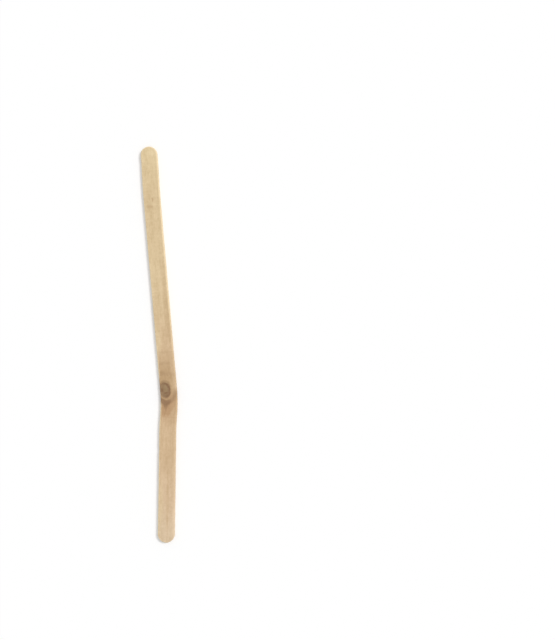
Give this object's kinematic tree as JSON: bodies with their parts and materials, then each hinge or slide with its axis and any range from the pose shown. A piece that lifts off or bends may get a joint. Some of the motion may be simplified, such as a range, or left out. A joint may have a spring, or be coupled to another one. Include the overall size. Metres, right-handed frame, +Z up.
{
  "type": "waxing spatula",
  "caption": "Slim flat wooden stick with full round ends and eased edges, slightly crooked sideways at a knot, for spreading soft wax.",
  "frame": {"origin": "middle of the outline's length and breadth, on the underside that the stick lies on", "axes": "+Z up, +Y along the stick from the short run to the long one, +X to the outside of the crook"},
  "size_m": [0.0092, 0.1398, 0.0013],
  "materials": {
    "birch": "bare matt veneer, tumbled smooth, with a dark knot beside the crook"
  },
  "bodies": {
    "root": {"spatula": "birch"}
  },
  "joints": []
}
